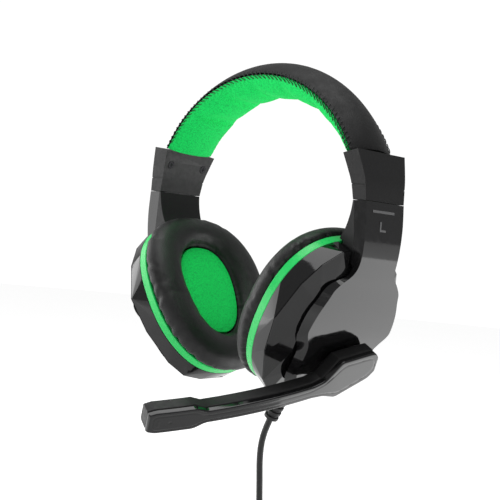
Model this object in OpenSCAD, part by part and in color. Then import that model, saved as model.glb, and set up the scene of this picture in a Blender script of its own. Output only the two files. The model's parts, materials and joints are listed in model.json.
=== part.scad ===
// Over-ear gaming headset with a swinging microphone boom, in millimetres.
// The wearer looks along -Y, the wearer's left is +X and up is +Z.
// The origin is the highest point of the headband pad's underside, where a head or a hook bears.

/* [Headband] */
// Half width of the arch, to its stitched edge
arch_w = 80; // [74:0.5:86]
// Rise of the arch above its own centre
arch_h = 77; // [70:0.5:84]
// Front to back width of the headband
band_w = 38; // [32:1:44]
// Crown of the top cover above the stitched edge, at the top of the arch
cover_crown = 9; // [5:0.5:10]
// Crown of the top cover where it meets the end caps
cover_end = 5; // [3:0.5:6]
// Thickness of the pad under the crown
pad_thick = 10.2; // [8:0.2:14]
// Thickness of the pad where it meets the end caps
pad_end = 4.5; // [3:0.5:7]
// Thickness of the spring steel strip
strip_thick = 0.8; // [0.6:0.1:1.2]

/* [Sliders] */
// Travel of each slider
slider_travel = 25; // [15:1:28]
// Width of the slider rail
rail_w = 20; // [14:1:22]
// Thickness of the slider rail
rail_thick = 2.4; // [1.8:0.1:3]
// Lean of the slider from upright
rail_lean = 4; // [2:0.5:6]

/* [Ear cups] */
// Half width of an ear cup, front to back
cup_half_w = 44.4; // [40:0.2:48]
// Half height of an ear cup
cup_half_h = 48.5; // [44:0.5:52]
// Lean of each cup, its lower end towards the other cup
cup_lean = 28.5; // [24:0.5:32]
// Depth of the ear cushion
cushion_depth = 18; // [14:1:22]
// Radial width of the ear cushion
cushion_w = 17; // [14:0.5:20]
// Tilt of a cup each way from rest
cup_swing = 3; // [1:0.5:3]

/* [Microphone] */
// Reach of the boom in front of its hub
boom_reach = 127; // [110:1:140]
// Height of the boom's bar
bar_h = 8; // [6:0.5:10]
// Thickness of the boom
boom_thick = 11.4; // [9:0.2:13]
// Droop of the boom below the line straight ahead
boom_droop = 18; // [0:1:30]

/* [Cord] */
// Diameter of the cord
cord_d = 3.8; // [3:0.1:4.5]
// Diameter of the audio plug's pin
plug_d = 3.5; // [2.5:0.5:3.5]

/* [Hidden] */
SIDES = ["left", "right"];
function both(names) = [for (name = names, side = SIDES) str(name, "_", side)];
$fn = 48;

// Places on the left side; the right side is their mirror image.
arch_z = -66.2;
arch_end = 25;
cap_top = [-35.2, -32.9];
split_z = -60.2;
split_gap = 0.3;
rail_x = 79;
cup_at = [47, -3, -125.2];
seam = 10;
seam_gap = 0.4;
egg = 0.09;
plump = 2.3;
plate_thick = 2.4;
pin_at = [16.6, 18];
pin_r = 1.5;
hub_at = [7, -15];
face_out = 37.6;
hub_r = 4;
coil_r = 21;
coil_band = 15.2;
coil_at = [-14.8, -2, -293.2];

// ---------- shared functions and modules ----------

// A smooth curve through points, with a number of steps between each pair.
function smooth(p, steps) = [
    for (i = [0:len(p) - 2], k = [0:steps - 1])
        let (a = p[max(i - 1, 0)], b = p[i], c = p[i + 1], d = p[min(i + 2, len(p) - 1)], t = k / steps)
        0.5 * (2 * b + (c - a) * t + (2 * a - 5 * b + 4 * c - d) * t * t + (3 * b - a - 3 * c + d)
            * t * t * t),
    p[len(p) - 1]
];
function reversed(list) = [for (i = [len(list) - 1:-1:0]) list[i]];
function signed_power(v, e) = sign(v) * pow(abs(v), e);

// A closed solid through rings of points, each ring in the same turning sense.
module skin(rings) {
    count = len(rings[0]);
    last = (len(rings) - 1) * count;
    polyhedron(
        points = [for (ring = rings) each ring],
        faces = concat(
            [[for (i = [0:count - 1]) i]],
            [for (j = [0:len(rings) - 2], i = [0:count - 1])
                let (a = j * count + i, b = j * count + (i + 1) % count) each [[a, a + count, b], [b,
                    a + count, b + count]]],
            [[for (i = [count - 1:-1:0]) last + i]]
        ),
        convexity = 6
    );
}

// An outline of [x, z] points drawn out along Y, or of [y, z] points along X.
module along_y(points, width) rotate([90, 0, 0]) linear_extrude(width, center = true) polygon(points);
module along_x(points, start, end) translate([start, 0, 0]) rotate([90, 0, 90]) linear_extrude(end - start)
    polygon(points);

// A symmetric [y, z] outline from [z, half width] points.
function mirrored(p) = concat([for (q = p) [-q[1], q[0]]], [for (q = reversed(p)) [q[1], q[0]]]);

module on_side(side) mirror([side == "right" ? 1 : 0, 0, 0]) children();
module rail_frame() translate([rail_x, 0, split_z]) rotate([0, -rail_lean, 0]) children();
// Cup axes: x is outwards through the cup, y is backwards and z is up along the cup.
module cup_frame() translate(cup_at) rotate([0, cup_lean, 0]) children();

// ---------- headband ----------

// A point of the headband: angle round the arch, distance out from the stitched edge, and y.
function on_arch(angle, out, y) =
    let (n = [cos(angle) / arch_w, sin(angle) / arch_h], u = n / norm(n))
    [arch_w * cos(angle) + out * u[0], y, arch_z + arch_h * sin(angle) + out * u[1]];
arch_angles = [for (i = [0:40]) arch_end + (180 - 2 * arch_end) * i / 40];
// Grows from 0 at the end caps to 1 at the top of the arch.
function rise(angle) = pow(sin(180 * (angle - arch_end) / (180 - 2 * arch_end)), 0.6);
function pad_depth(angle) = pad_end + (pad_thick - pad_end) * rise(angle);
function cover_height(angle) = cover_end + (cover_crown - cover_end) * rise(angle);

module headband_cover() {
    low = strip_thick / 2;
    color("#26282a") skin([
        for (a = arch_angles)
            [for (k = [0:16]) on_arch(a, low + (cover_height(a) - low) * pow(sin(11.25 * k), 2),
                -band_w / 2 * cos(11.25 * k))]
    ]);
}

module headband_pad() {
    half = band_w / 2;
    color("#28c85f") skin([
        for (a = arch_angles)
            [for (k = [0:16]) on_arch(a, -strip_thick / 2 - pad_depth(a) * pow(abs(sin(11.25 * k)), 0.7),
                half * signed_power(cos(11.25 * k), 0.8))]
    ]);
}

// The strip's flat tab in each cap, hung from the end of the arch.
tab_lean = 14;
module tab_frame() translate(on_arch(arch_end, 0, 0)) rotate([0, -tab_lean, 0]) children();
screw_y = 14;
screw_drop = 9.4;

function arch_line(out) = [for (a = arch_angles) let (p = on_arch(a, out, 0)) [p[0], p[2]]];
function tab_line(s, out) = let (p = on_arch(arch_end, 0, 0), c = cos(tab_lean), t = sin(tab_lean), drop = 9)
    [s * (p[0] + out * c + drop * t), p[2] + out * t - drop * c];
module spring_strip() color("#9a9da0") {
    half = strip_thick / 2;
    along_y(concat([tab_line(1, half)], arch_line(half), [tab_line(-1, half), tab_line(-1, -half)],
        reversed(arch_line(-half)), [tab_line(1, -half)]), 14);
    for (s = [0, 1]) mirror([s, 0, 0]) tab_frame() difference() {
        translate([-half - 0.05, -17, -12.5]) cube([strip_thick + 0.1, 34, 9.5]);
        for (y = [-screw_y, screw_y]) translate([-2, y, -screw_drop]) rotate([0, 90, 0]) cylinder(r = 1.45,
            h = 4);
    }
}

module crossover_wire() color("#c8252c")
    skin([for (a = arch_angles) [for (k = [0:7]) on_arch(a, 0.36 * sin(-45 * k), 11 + 0.36 * cos(45 * k))]]);

// ---------- end caps ----------

cap_out = [[80.3, cap_top[1]], [82.7, -41.2], [84.6, -49.2], [85.6, split_z]];
cap_in = [[70, cap_top[0]], [72.6, -43.2], [75, -51.2], [76.6, split_z]];
groove_z = -52.2;
cap_half = [[-32.2, 21.6], [-41.7, 19.6], [-50.2, 18], [split_z, 17.2]];

module cap_solid() difference() {
    intersection() {
        along_y(concat(smooth(cap_out, 5), reversed(smooth(cap_in, 5))), 60);
        along_x(mirrored(smooth(cap_half, 5)), 60, 95);
    }
    difference() {
        translate([60, -30, groove_z]) cube([40, 60, 0.6]);
        along_x(mirrored([for (q = cap_half) [q[0], q[1] - 0.5]]), 60, 95);
    }
}
// The rail's channel, and the strip's slot, with their clearances.
module rail_slot() rail_frame() translate([-1.4, -rail_w / 2 - 0.2, -37]) cube([rail_thick + 0.4,
    rail_w + 0.4, 58]);
module strip_slot() tab_frame() {
    translate([-0.6, -17.2, -12.7]) cube([1.2, 34.4, 10.2]);
    translate([-0.6, -7.2, -4]) cube([1.2, 14.4, 9]);
}
module cap_half_space(outwards) rail_frame() translate([outwards ? -1.4 : -41.4, -40, -40]) cube([40, 80,
    90]);
module screw_axis(y) tab_frame() translate([0, y, -screw_drop]) rotate([0, 90, 0]) children();

module cap_outer() color("#2e2f30") difference() {
    intersection() {
        cap_solid();
        cap_half_space(true);
    }
    rail_slot();
    for (y = [-screw_y, screw_y]) screw_axis(y) cylinder(r = 1.25, h = 7.6);
}
module cap_inner() color("#2e2f30") difference() {
    intersection() {
        cap_solid();
        cap_half_space(false);
    }
    strip_slot();
    for (y = [-screw_y, screw_y]) screw_axis(y) {
        translate([0, 0, -3]) cylinder(r = 1.45, h = 12);
        translate([0, 0, -8]) cylinder(r = 2.5, h = 6.6);
    }
}
module cap_screws() color("#6e7072") for (y = [-screw_y, screw_y]) screw_axis(y) {
    translate([0, 0, -1.4]) cylinder(r = 1.25, h = 8.8);
    difference() {
        translate([0, 0, -2.4]) cylinder(r = 2.3, h = 1);
        for (turn = [0, 90]) rotate(turn) translate([-1.3, -0.25, -2.5]) cube([2.6, 0.5, 0.6]);
    }
}
module slider_rail() color("#5b5e60") rail_frame() difference() {
    translate([-rail_thick / 2, -rail_w / 2, -36]) cube([rail_thick, rail_w, 56.6]);
    for (k = [0:5], s = [-1, 1])
        translate([0, s * (rail_w / 2 + 1.1), -30 + slider_travel * k / 5]) rotate([0, 90, 0])
            cylinder(r = 1.5, h = 9, center = true);
}

// ---------- arms and outer plates ----------

// Outer face of the arm and plate, as [x, z], from the split down.
arm_face = [[85.7, split_z - split_gap], [86.4, -68.2], [86.7, -75.2], [86.3, -85.2], [85.1, -93.7], [82.6,
    -101.6],
    [79.6, -109.2], [74.5, -122.5], [69, -134.9], [63, -145.5], [55.3, -157.8], [47.5, -168.2]];
arm_back = [[76.7, split_z - split_gap], [75.6, -67.2], [73, -75.2], [69.6, -81.2], [67.8, -84.4]];
// Half widths of the arm and plate against z.
arm_half = [[split_z - split_gap, 17.2], [-68.2, 16.9], [-80.2, 16.6], [-92.2, 16.3], [-98.2, 17], [-102.2,
    19.6],
    [-106.2, 25], [-110.2, 29.6], [-115.2, 32], [-123.2, 35.4], [-132.2, 37.2], [-136.2, 36], [-140.8, 32],
        [-144.7, 29.8],
    [-151.2, 28.6], [-158.2, 26.5], [-163.2, 21.5], [-166.6, 13], [-167.8, 3]];
rim_deep = 8;
function step_in(curve, by) = [for (i = [0:len(curve) - 1])
    let (a = curve[max(i - 1, 0)], b = curve[min(i + 1, len(curve) - 1)], t = (b - a) / norm(b - a))
        curve[i] + by * [t[1], -t[0]]];
arm_curve = smooth(arm_face, 5);
plate_from = 22;
plate_curve = [for (i = [plate_from:len(arm_curve) - 1]) arm_curve[i]];

module plate_band(depth) along_y(concat(plate_curve, reversed(step_in(plate_curve, depth))), 90);
module arm_outline(inset) along_x(mirrored([for (q = smooth(arm_half, 4)) [q[0], max(q[1] - inset, 0.5)]]),
    30, 95);

// The faceted outer half of a cup, grown by a margin and lifted by a gap.
facets = [[-47.5, 3], [-40.5, 25], [-32, 37.5], [-20.5, 46.5], [0, 50], [21, 46.8], [36, 36], [46.5, 20],
    [48.5, -2],
    [43.5, -22], [31, -38.5], [12, -47.4], [-8, -48.4], [-21, -46], [-31, -37.5], [-42, -18]];
crest_in = 0.72;
crest = [[45, 13.6], [33, 17], [20, 18.6], [0, 19.4], [-20, 17.6], [-36, 14.8]];
function crest_at(u) = lookup(u, crest);
module faceted(inset, drop) hull() {
    translate([seam + seam_gap, 0, 0]) rotate([90, 0, 90]) linear_extrude(0.2)
        polygon(facets * (1 - inset / 46));
    for (f = facets * crest_in) translate([crest_at(f[1]) - drop, f[0], f[1]] - [0.1, 0.1, 0.1]) cube([0.1,
        0.2, 0.2]);
}
function cup_outline(grow) = [
    for (k = [0:71]) let (u = signed_power(sin(5 * k), 2 / plump))
        [(cup_half_w + grow) * signed_power(cos(5 * k), 2 / plump) * (1 + egg * u), (cup_half_h + grow) * u]
];
module cup_prism(grow, from, to) along_x(cup_outline(grow), from, to);

// Room for the cup to tilt behind the arm.
module cup_room() cup_frame() for (t = [-cup_swing, cup_swing]) about_pin(t) {
    cup_prism(0.6, -40, 0.4);
    difference() {
        union() {
            faceted(-0.5, -0.5);
            along_x(facets * 1.01, 0, seam + 2);
        }
        arm_notch(1.3);
    }
}
module about_pin(turn) translate([pin_at[0], 0, pin_at[1]]) rotate([0, turn, 0]) translate([-pin_at[0], 0,
    -pin_at[1]]) children();
// The notch in the cup's top that the arm's lower end sits in, moved down by a gap.
module arm_notch(gap) translate([0, 3, 0])
    along_y([[0, 70], [0, 46 - gap], [5.5, 44.4 - gap], [19.5, 39.8 - gap], [32, 35.6 - gap], [32, 70]],
        35 + 0.6 * gap);

module arm_solid() {
    intersection() {
        along_y(concat([for (i = [0:plate_from + 1]) arm_curve[i]], [[82.6, -99.7], [72.9, -89.1]],
            reversed(smooth(arm_back, 5))), 60);
        arm_outline(0);
    }
}
// The arm divides on a plane just inside the rail's channel.
module arm_half_space(outwards) rail_frame() translate([outwards ? -1.4 : -41.4, -40, -70]) cube([40, 80,
    90]);

module pin_lugs() cup_frame() for (s = [-1, 1]) difference() {
    translate([0, s * 7.4, 0]) union() {
        translate([pin_at[0], 0, pin_at[1]]) rotate([90, 0, 0]) cylinder(r = 2.6, h = 3.6, center = true);
        translate([pin_at[0], -1.8, pin_at[1] - 2.6]) cube([4.4, 3.6, 5.2]);
    }
    translate([pin_at[0], 0, pin_at[1]]) rotate([90, 0, 0]) cylinder(r = pin_r, h = 40, center = true);
}

// Marks on the arm's outer face, as [y, z] outlines: a bar, and an L on the left or an R on the right.
module mark_shape(side) {
    translate([-11.3, -66.4]) square([19.4, 1.4]);
    if (side == "left") {
        translate([-4.4, -76.5]) square([1.1, 5.5]);
        translate([-4.4, -76.5]) square([5.4, 1.1]);
    } else {
        translate([1, -76.5]) square([1.1, 5.5]);
        translate([-2.6, -74.1]) difference() {
            square([4, 3.1]);
            translate([1.1, 1.05]) square([2, 1]);
        }
        polygon([[-2.6, -76.5], [-1.2, -76.5], [0.6, -73.7], [-0.8, -73.7]]);
    }
}
module side_mark(side) color("#9c9e9f") intersection() {
    along_y(concat(step_in(arm_curve, -0.3), reversed(step_in(arm_curve, 0.3))), 40);
    translate([60, 0, 0]) rotate([90, 0, 90]) linear_extrude(40) mark_shape(side);
}

module arm_outer(side) color("#2b2c2d") {
    difference() {
        union() {
            intersection() {
                arm_solid();
                arm_half_space(true);
            }
            intersection() {
                plate_band(plate_thick);
                arm_outline(0);
            }
            difference() {
                intersection() {
                    plate_band(rim_deep);
                    arm_outline(0);
                }
                arm_outline(2.2);
            }
        }
        rail_slot();
        click_room();
        cup_room();
        if (side == "left") cup_frame() translate([10, hub_at[0], hub_at[1]]) rotate([0, 90, 0]) {
            cylinder(r = 2.6, h = 20);
            translate([0, 0, 13.2]) cylinder(r = 8.2, h = 10);
        }
    }
    pin_lugs();
}
module arm_inner() color("#2b2c2d") difference() {
    intersection() {
        arm_solid();
        arm_half_space(false);
    }
    cup_room();
}
// The leaf springs sit beside the rail, in pockets near the arm's top.
click_z = -5;
module click_room() rail_frame() translate([-1.5, -rail_w / 2 - 2.6, click_z - 5]) cube([2.9, rail_w + 5.2,
    9.4]);
module click_spring() color("#b59a58") rail_frame() for (s = [-1, 1]) translate([-1.1,
    s * (rail_w / 2 + 2), click_z]) {
    translate([0, -0.25, -4.6]) cube([2.2, 0.5, 8.8]);
    translate([0, -0.7 * s, 0]) rotate([0, 90, 0]) cylinder(r = 1.1, h = 2.2);
}
module tilt_pin() color("#b7babd") cup_frame()
    translate([pin_at[0], 0, pin_at[1]]) rotate([90, 0, 0]) cylinder(r = pin_r, h = 18.4, center = true);

// ---------- ear cups ----------

cup_screw_spots = [[-28, 22], [28, 22], [-24, -26], [24, -26]];
module at_spots(n) for (p = cup_screw_spots) translate([n, p[0], p[1]]) rotate([0, 90, 0]) children();
module pocket(r, from) translate([from, 0, pin_at[1]]) rotate([0, 90, 0]) cylinder(r = r, h = 14);
module cup_shell() color("#2c2d2e") cup_frame() {
    difference() {
        faceted(0, 0);
        difference() {
            faceted(3, 2.4);
            at_spots(seam) cylinder(r = 3, h = 9);
            pocket(13.4, 11.6);
            arm_notch(3.6);
        }
        pocket(12, 13.2);
        arm_notch(1.8);
        at_spots(seam) cylinder(r = 1.25, h = 3.6);
    }
    difference() {
        union() {
            translate([pin_at[0], 0, pin_at[1]]) rotate([90, 0, 0]) cylinder(r = 2.6, h = 10.4,
                center = true);
            translate([12.4, -5.2, pin_at[1] - 2.6]) cube([pin_at[0] - 12.4, 10.4, 5.2]);
        }
        translate([pin_at[0], 0, pin_at[1]]) rotate([90, 0, 0]) cylinder(r = pin_r + 0.1, h = 30,
            center = true);
    }
}
module cup_base(side) color("#303132") cup_frame() difference() {
    hull() {
        cup_prism(0.4, 0.1, 0.4);
        along_x(facets, seam - 0.3, seam);
    }
    difference() {
        cup_prism(-3.2, 2.4, seam - 1.6);
        arm_notch(3.6);
    }
    cup_prism(-7, -1, 4);
    cup_prism(-16, 4, seam + 1);
    arm_notch(1.8);
    at_spots(5) cylinder(r = 1.45, h = 9);
    if (side == "left") translate([5, 1, -60]) cylinder(r = gland_neck - 0.1, h = 30);
}
module cup_screws() color("#6e7072") cup_frame() at_spots(seam - 3) {
    cylinder(r = 2.3, h = 1.4);
    cylinder(r = 1.25, h = 6.2);
}
module trim_ring() color("#35d168") cup_frame() difference() {
    cup_prism(0.4, -5.4, 0);
    cup_prism(-4.6, -6, 1);
}
module baffle() color("#232425") cup_frame() difference() {
    union() {
        cup_prism(-7.4, 0, 2.2);
        cup_prism(-4.9, -2.4, 0);
        translate([-3.4, 0, 0]) rotate([0, 90, 0]) cylinder(r = 23, h = 4);
    }
    translate([-4, 0, 0]) rotate([0, 90, 0]) cylinder(r = 18, h = 10);
    at_spots(-5) cylinder(r = 2.6, h = 12);
}
module driver_frame() color("#8d9092") cup_frame() rotate([0, 90, 0]) {
    difference() {
        translate([0, 0, -3]) cylinder(r = 17.9, h = 5);
        translate([0, 0, -4]) cylinder(r = 16.4, h = 5);
        translate([0, 0, -4]) cylinder(r = 9, h = 10);
        for (k = [0:7]) rotate(45 * k) translate([12.6, 0, -5]) cylinder(r = 2, h = 9);
    }
}
module driver_magnet() color("#4a4d50") cup_frame() rotate([0, 90, 0]) {
    translate([0, 0, -1.6]) cylinder(r = 8.9, h = 7);
    difference() {
        translate([0, 0, -2.1]) cylinder(r = 16, h = 0.5);
        translate([0, 0, -3]) cylinder(r = 3, h = 1);
    }
}
module damping_felt() color("#6a6f73") cup_frame() difference() {
    cup_prism(-9, 5.8, 7.8);
    at_spots(5) cylinder(r = 4, h = 8);
}
// The cushion's hole, a little above the cup's middle and narrower than the cup.
hole_at = [-0.5, 2];
hole_shape = [0.82, 0.95];
module ear_hole(grow, from, to) translate([0, hole_at[0], hole_at[1]])
    along_x([for (p = cup_outline(grow)) [p[0] * hole_shape[0], p[1] * hole_shape[1]]], from, to);
module ear_cushion() color("#2a2b2b") cup_frame() difference() {
    hull() {
        cup_prism(0.4, -11, -5.8);
        cup_prism(-3, -16, -15.8);
        cup_prism(-8, -cushion_depth - 1.2, -cushion_depth - 1);
    }
    ear_hole(-cushion_w - 0.8, -cushion_depth - 3, 0);
}
module ear_mesh() color("#18ba44") cup_frame() ear_hole(-cushion_w - 1.2, -12, -3.8);

// ---------- left cup's electronics ----------

module circuit_board() color("#1d6b3a") cup_frame() translate([4.2, -16, -32]) difference() {
    cube([1.2, 32, 12]);
    for (y = [4, 28]) translate([-1, y, 6]) rotate([0, 90, 0]) cylinder(r = 1.1, h = 4);
}

// ---------- microphone boom ----------

// Boom axes: x is outwards, -y runs along the bar and z is the bar's height, with the hub at the origin.
module boom_frame() cup_frame() translate([face_out, hub_at[0], hub_at[1]]) rotate([boom_droop, 0, 0])
    children();
root_up = [[-16, 6.4], [-13, 11], [-8, 11.6], [13, 12.6], [23, 2.4], [30, 1]];
root_down = [[-16, -2.2], [-11.3, -6.7], [12, -12.4], [22, -8.3], [30, -7.2]];
head_from = boom_reach - 24;
boom_top = concat(root_up, [[head_from - 6, bar_h - 7], [head_from, 3.6], [boom_reach - 2, 3.6],
    [boom_reach + 2, 2.4]]);
boom_low = concat(root_down, [[head_from - 6, -7], [head_from, -9.8], [boom_reach - 2, -9.8],
    [boom_reach + 2, -8.4]]);
bend_from = 12;
bend_r = 390;
function bend_at(s) = max(s - bend_from, 0) / bend_r * 180 / PI;
function bar_at(s) = let (a = bend_at(s)) [(cos(a) - 1) * bend_r, -min(s, bend_from) - bend_r * sin(a), 0];
boom_steps = concat([-16, -13, -11.3, -8, 0, 12, 13, 17, 22, 23, 30], [for (k = [1:6])
    30 + (head_from - 36) * k / 6],
    [head_from - 3, head_from, head_from + 8, head_from + 16, boom_reach - 2, boom_reach + 2]);

module boom_slab(from, to, inset) skin([
    for (s = boom_steps) let (
        a = bend_at(s),
        middle = bar_at(s),
        top = lookup(s, boom_top) - inset,
        low = lookup(s, boom_low) + inset,
        edge = 1
    )
    [for (q = [[from, low + edge], [from + edge, low], [to - edge, low], [to, low + edge],
        [to, top - edge], [to - edge, top], [from + edge, top], [from, top - edge]])
        middle + [q[0] * cos(a), -q[0] * sin(a), q[1]]]
]);
// The microphone's axis, in the head.
mic_s = boom_reach - 10;
module mic_axis() boom_frame() translate(bar_at(mic_s) + [0, 0, -3.1]) rotate([0, 0, -bend_at(mic_s)])
    rotate([0, 90, 0]) children();

module boom_back() color("#2b2c2d") boom_frame() difference() {
    boom_slab(-boom_thick, -3.2, 0);
    translate([-boom_thick - 1, 0, 0]) rotate([0, 90, 0]) cylinder(r = hub_r + 0.15, h = 7.2);
    translate(bar_at(mic_s) + [0, 0, -3.1]) rotate([0, 0, -bend_at(mic_s)]) translate([-9.6, 0, 0])
        rotate([0, 90, 0])
        cylinder(r = 3.1, h = 20);
}
module boom_front() color("#3a3b3c") boom_frame() difference() {
    boom_slab(-3.1, 0, 0);
    translate(bar_at(mic_s) + [0, 0, -3.1]) rotate([0, 0, -bend_at(mic_s)]) translate([-5, 0, 0])
        rotate([0, 90, 0])
        cylinder(r = 0.7, h = 20);
}
module boom_hub() color("#3a3b3c") cup_frame() translate([0, hub_at[0], hub_at[1]]) rotate([0, 90, 0]) {
    translate([0, 0, 23.3]) cylinder(r = 8, h = face_out - boom_thick - 23.7);
    translate([0, 0, 24.2]) cylinder(r = hub_r, h = 7.2);
    translate([0, 0, 21.2]) cylinder(r = 2.5, h = 4);
}
module mic_capsule() color("#a9acae") mic_axis() translate([0, 0, -9.4]) cylinder(r = 3, h = 3.6);
module mic_foam() color("#1c1d1e") mic_axis() translate([0, 0, -5.6]) cylinder(r = 3, h = 2.2);

// ---------- cord, coil and plug ----------

gland_r = 4.3;
gland_neck = 3.2;
gland_tip = 69.1;
module cord_gland() color("#242526") cup_frame() translate([5, 1, 0]) {
    translate([0, 0, -gland_tip]) cylinder(r = gland_neck, h = gland_tip - 46.2);
    for (k = [0:3]) translate([0, 0, -gland_tip + 3.5 * k]) cylinder(r = gland_r, h = 2.1);
}
// The hanging stretch, from the gland's tip to the coil.
cord_route = [[18.4, -2, -188.4], [15.8, -2, -194.2], [13.8, -2, -200.2], [12.6, -1.8, -207.2], [12, -1,
    -215.2],
    [11.9, 0.2, -224.2], [11.9, 1.4, -234.2], [11.9, 2.5, -244.2], [11.9, 3.2, -254.2], [11.9, 3.6,
        -264.2], [11.9, 3.7, -276.2],
    [11.9, 3.7, -293.2]];
tail_route = [[-41.5, -7.7, -293.2], [-41.5, -7.7, -303.2], [-41.5, -7.7, -313.2], [-41.5, -7.7, -323.2]];
module tube(route) let (curve = smooth(route, 2)) skin([
    for (i = [0:len(curve) - 1]) let (
        t = curve[min(i + 1, len(curve) - 1)] - curve[max(i - 1, 0)],
        side = [0, 1, 0],
        lift = cross(t, side) / norm(cross(t, side))
    )
    [for (k = [0:7]) curve[i] + cord_d / 2 * (cos(45 * k) * side + sin(45 * k) * lift)]
]);
module cord_tube() color("#1d1e1f") tube(cord_route);
module cord_tail() color("#1d1e1f") tube(tail_route);
module cord_coil() color("#1d1e1f") translate(coil_at) rotate([90, 0, 0]) rotate_extrude($fn = 72)
    translate([coil_r - coil_band / 2, -coil_band / 2]) square(coil_band);
module cord_tie() color("#111213") translate(coil_at + [0, 0, coil_r]) difference() {
    cube([7, coil_band + 2.6, coil_band + 5], center = true);
    cube([9, coil_band + 0.6, coil_band + 3], center = true);
}
plug_top = tail_route[3];
module plug_body() color("#1b1c1d") translate(plug_top) {
    translate([0, 0, -8]) cylinder(r1 = 3.2, r2 = 2.4, h = 8);
    translate([0, 0, -26]) cylinder(r = 4.4, h = 18);
}
module plug_pin() color("#c9ccd0") translate(plug_top + [0, 0, -40]) union() {
    translate([0, 0, 1.5]) cylinder(d = plug_d, h = 12.5);
    cylinder(d1 = 1.6, d2 = plug_d, h = 1.5);
}

// ---------- which nodes to show ----------

headband_cover();
headband_pad();
spring_strip();
crossover_wire();
for (side = SIDES) on_side(side) {
    cap_outer();
    cap_inner();
    cap_screws();
    slider_rail();
    arm_outer(side);
    arm_inner();
    side_mark(side);
    click_spring();
    tilt_pin();
    cup_shell();
    cup_base(side);
    cup_screws();
    trim_ring();
    baffle();
    driver_frame();
    driver_magnet();
    damping_felt();
    ear_cushion();
    ear_mesh();
}
circuit_board();
boom_hub();
boom_back();
boom_front();
mic_capsule();
mic_foam();
cord_gland();
cord_tube();
cord_coil();
cord_tie();
cord_tail();
plug_body();
plug_pin();
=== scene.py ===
"""The looks of an over-ear gaming headset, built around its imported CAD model.

The scene is in metres. Sizes and places are in millimetres where MM scales them.
The wearer looks along -Y, the wearer's left is +X, and the headband rests on a head or a hook at the origin.
"""

import json
import math
import random

import bmesh
import bpy
import numpy as np
from mathutils import Matrix, Vector

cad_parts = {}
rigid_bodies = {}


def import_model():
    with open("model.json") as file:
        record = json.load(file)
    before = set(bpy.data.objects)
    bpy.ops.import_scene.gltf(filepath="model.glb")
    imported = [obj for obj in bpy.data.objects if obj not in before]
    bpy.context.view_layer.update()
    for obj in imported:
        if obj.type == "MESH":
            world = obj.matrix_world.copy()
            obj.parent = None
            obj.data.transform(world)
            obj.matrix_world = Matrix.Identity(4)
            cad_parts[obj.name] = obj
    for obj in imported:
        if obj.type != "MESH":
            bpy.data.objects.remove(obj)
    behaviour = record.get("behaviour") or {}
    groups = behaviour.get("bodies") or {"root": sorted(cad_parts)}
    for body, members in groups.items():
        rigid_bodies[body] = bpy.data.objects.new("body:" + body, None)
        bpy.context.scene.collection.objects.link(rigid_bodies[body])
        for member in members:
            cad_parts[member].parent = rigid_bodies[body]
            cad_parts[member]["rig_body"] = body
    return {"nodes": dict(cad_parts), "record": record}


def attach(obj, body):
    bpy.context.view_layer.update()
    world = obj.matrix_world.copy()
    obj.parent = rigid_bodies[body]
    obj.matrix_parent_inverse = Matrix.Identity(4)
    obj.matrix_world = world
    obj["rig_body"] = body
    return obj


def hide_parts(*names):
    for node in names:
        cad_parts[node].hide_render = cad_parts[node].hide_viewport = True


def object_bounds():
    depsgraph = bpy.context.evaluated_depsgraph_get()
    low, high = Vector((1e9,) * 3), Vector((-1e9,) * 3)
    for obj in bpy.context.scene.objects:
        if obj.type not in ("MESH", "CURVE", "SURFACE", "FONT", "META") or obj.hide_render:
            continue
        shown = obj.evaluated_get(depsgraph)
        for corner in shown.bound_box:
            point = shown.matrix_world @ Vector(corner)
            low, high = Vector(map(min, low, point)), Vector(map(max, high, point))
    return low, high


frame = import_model()
cad_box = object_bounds()
nodes = frame["nodes"]
MM = 0.001
SIDES = {"left": 1, "right": -1}

# ---------- sizes shared with the CAD model, in millimetres ----------

CUP_AT = Vector((47, -3, -125.2))
CUP_LEAN = math.radians(28.5)
CUP_HALF_W, CUP_HALF_H = 44.4, 48.5
EGG, PLUMP = 0.09, 2.3
HUB_N, HUB_W, HUB_U = 37.6, 7, -15
ARCH_W, ARCH_H, ARCH_Z = 80, 77, -66.2
ARCH_END = 25
BAND_HALF = 19
COVER_CROWN, COVER_END = 9, 5
PAD_THICK, PAD_END = 10.2, 4.5
STRIP_HALF = 0.4
CORD_D = 3.8


# ---------- camera ----------

CAMERA_AT = Vector((483.28, -530.92, -95.56))
CAMERA_TURN, CAMERA_ELEVATION, CAMERA_ROLL = 43, -0.266, 5.139
SENSOR, LENS = 36, 87


def make_camera():
    """One almost level camera off the wearer's left front, rolled by a few degrees."""
    azimuth, elevation, roll = map(math.radians, (CAMERA_TURN, CAMERA_ELEVATION, CAMERA_ROLL))
    data = bpy.data.cameras.new("camera")
    data.sensor_width = SENSOR
    data.lens = LENS
    data.clip_start, data.clip_end = 0.05, 30
    forward = Vector((-math.sin(azimuth) * math.cos(elevation), math.cos(azimuth) * math.cos(elevation),
                      -math.sin(elevation)))
    right = Vector((math.cos(azimuth), math.sin(azimuth), 0))
    up = right.cross(forward)
    c, s = math.cos(roll), math.sin(roll)
    axes = Matrix((c * right + s * up, c * up - s * right, -forward)).transposed()
    camera = bpy.data.objects.new("camera", data)
    camera.matrix_world = Matrix.Translation(CAMERA_AT * MM) @ axes.to_4x4()
    bpy.context.scene.collection.objects.link(camera)
    bpy.context.scene.camera = camera


# ---------- helpers for meshes ----------

def add_object(name, data, body):
    obj = bpy.data.objects.new(name, data)
    bpy.context.scene.collection.objects.link(obj)
    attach(obj, body)
    return obj


def mesh_from(name, points, faces, scale=MM):
    mesh = bpy.data.meshes.new(name)
    mesh.from_pydata([Vector(p) * scale for p in points], [], faces)
    mesh.validate()
    return mesh


def smooth_shade(mesh, sharp_angle=None):
    mesh.shade_smooth()
    if sharp_angle is not None:
        mesh.set_sharp_from_angle(angle=math.radians(sharp_angle))


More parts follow.
